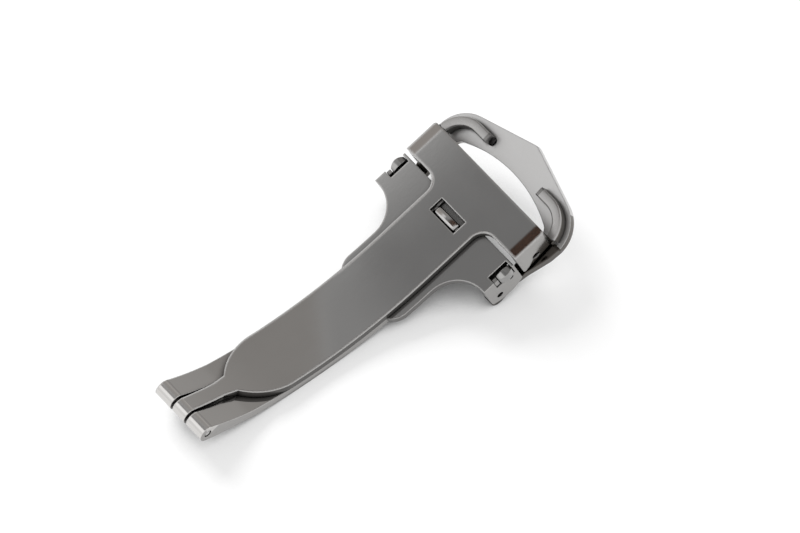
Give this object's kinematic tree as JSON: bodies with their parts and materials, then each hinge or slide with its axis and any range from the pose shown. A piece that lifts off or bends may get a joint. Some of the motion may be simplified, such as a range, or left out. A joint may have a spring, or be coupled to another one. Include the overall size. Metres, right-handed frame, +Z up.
{
  "type": "deployant clasp",
  "caption": "Folding strap clasp of two curved hinged blades with push latches, a cover frame and a sprung strap bar.",
  "frame": {"origin": "middle of the base of the object's box, under the blades, as it lies closed on a table", "axes": "+X from the hinge to the tip of the frame, +Y to the left side, +Z up to the wrist side"},
  "size_m": [0.0494, 0.0202, 0.0087],
  "materials": {
    "polished_steel": "mirror polished stainless steel",
    "satin_steel": "satin stainless steel",
    "pin_steel": "drawn pin wire",
    "spring_steel": "spring wire"
  },
  "bodies": {
    "lower_blade": {"lower_blade": "polished_steel", "hinge_pin": "pin_steel", "frame_pin_left": "pin_steel", "frame_pin_right": "pin_steel", "catch_post": "polished_steel", "latch_housing": "satin_steel", "housing_rivets": "pin_steel", "housing_pin_left": "pin_steel", "housing_pin_right": "pin_steel", "pusher_spring_left": "spring_steel", "pusher_spring_right": "spring_steel"},
    "upper_blade": {"upper_blade": "polished_steel", "strap_bar_tube": "satin_steel", "strap_bar_spring": "spring_steel"},
    "strap_tip_left": {"strap_bar_tip_left": "pin_steel"},
    "strap_tip_right": {"strap_bar_tip_right": "pin_steel"},
    "frame": {"frame": "satin_steel"},
    "pusher_left": {"pusher_left": "polished_steel", "latch_slide_left": "satin_steel"},
    "pusher_right": {"pusher_right": "polished_steel", "latch_slide_right": "satin_steel"}
  },
  "joints": [
    {"name": "blade_fold", "type": "hinge", "parent": "lower_blade", "child": "upper_blade", "pos_m": [-0.02369, 0, 0.00346], "axis": [0, -1, 0], "range_deg": [0, 170]},
    {"name": "frame_swing", "type": "hinge", "parent": "lower_blade", "child": "frame", "pos_m": [0.01185, 0, 0.00225], "axis": [0, 1, 0], "range_deg": [0, 85]},
    {"name": "push_left", "type": "slide", "parent": "lower_blade", "child": "pusher_left", "axis": [0, -1, 0], "range_m": [0, 0.00035], "stiffness_N_per_m": 300, "springref_m": -0.0004, "deforming": ["pusher_spring_left"]},
    {"name": "push_right", "type": "slide", "parent": "lower_blade", "child": "pusher_right", "axis": [0, 1, 0], "range_m": [0, 0.00035], "stiffness_N_per_m": 300, "springref_m": -0.0004, "deforming": ["pusher_spring_right"]},
    {"name": "tip_left", "type": "slide", "parent": "upper_blade", "child": "strap_tip_left", "axis": [0, -1, 0], "range_m": [0, 0.0009], "stiffness_N_per_m": 300, "springref_m": -0.0006, "deforming": ["strap_bar_spring"]},
    {"name": "tip_right", "type": "slide", "parent": "upper_blade", "child": "strap_tip_right", "axis": [0, 1, 0], "range_m": [0, 0.0009], "stiffness_N_per_m": 300, "springref_m": -0.0006}
  ]
}
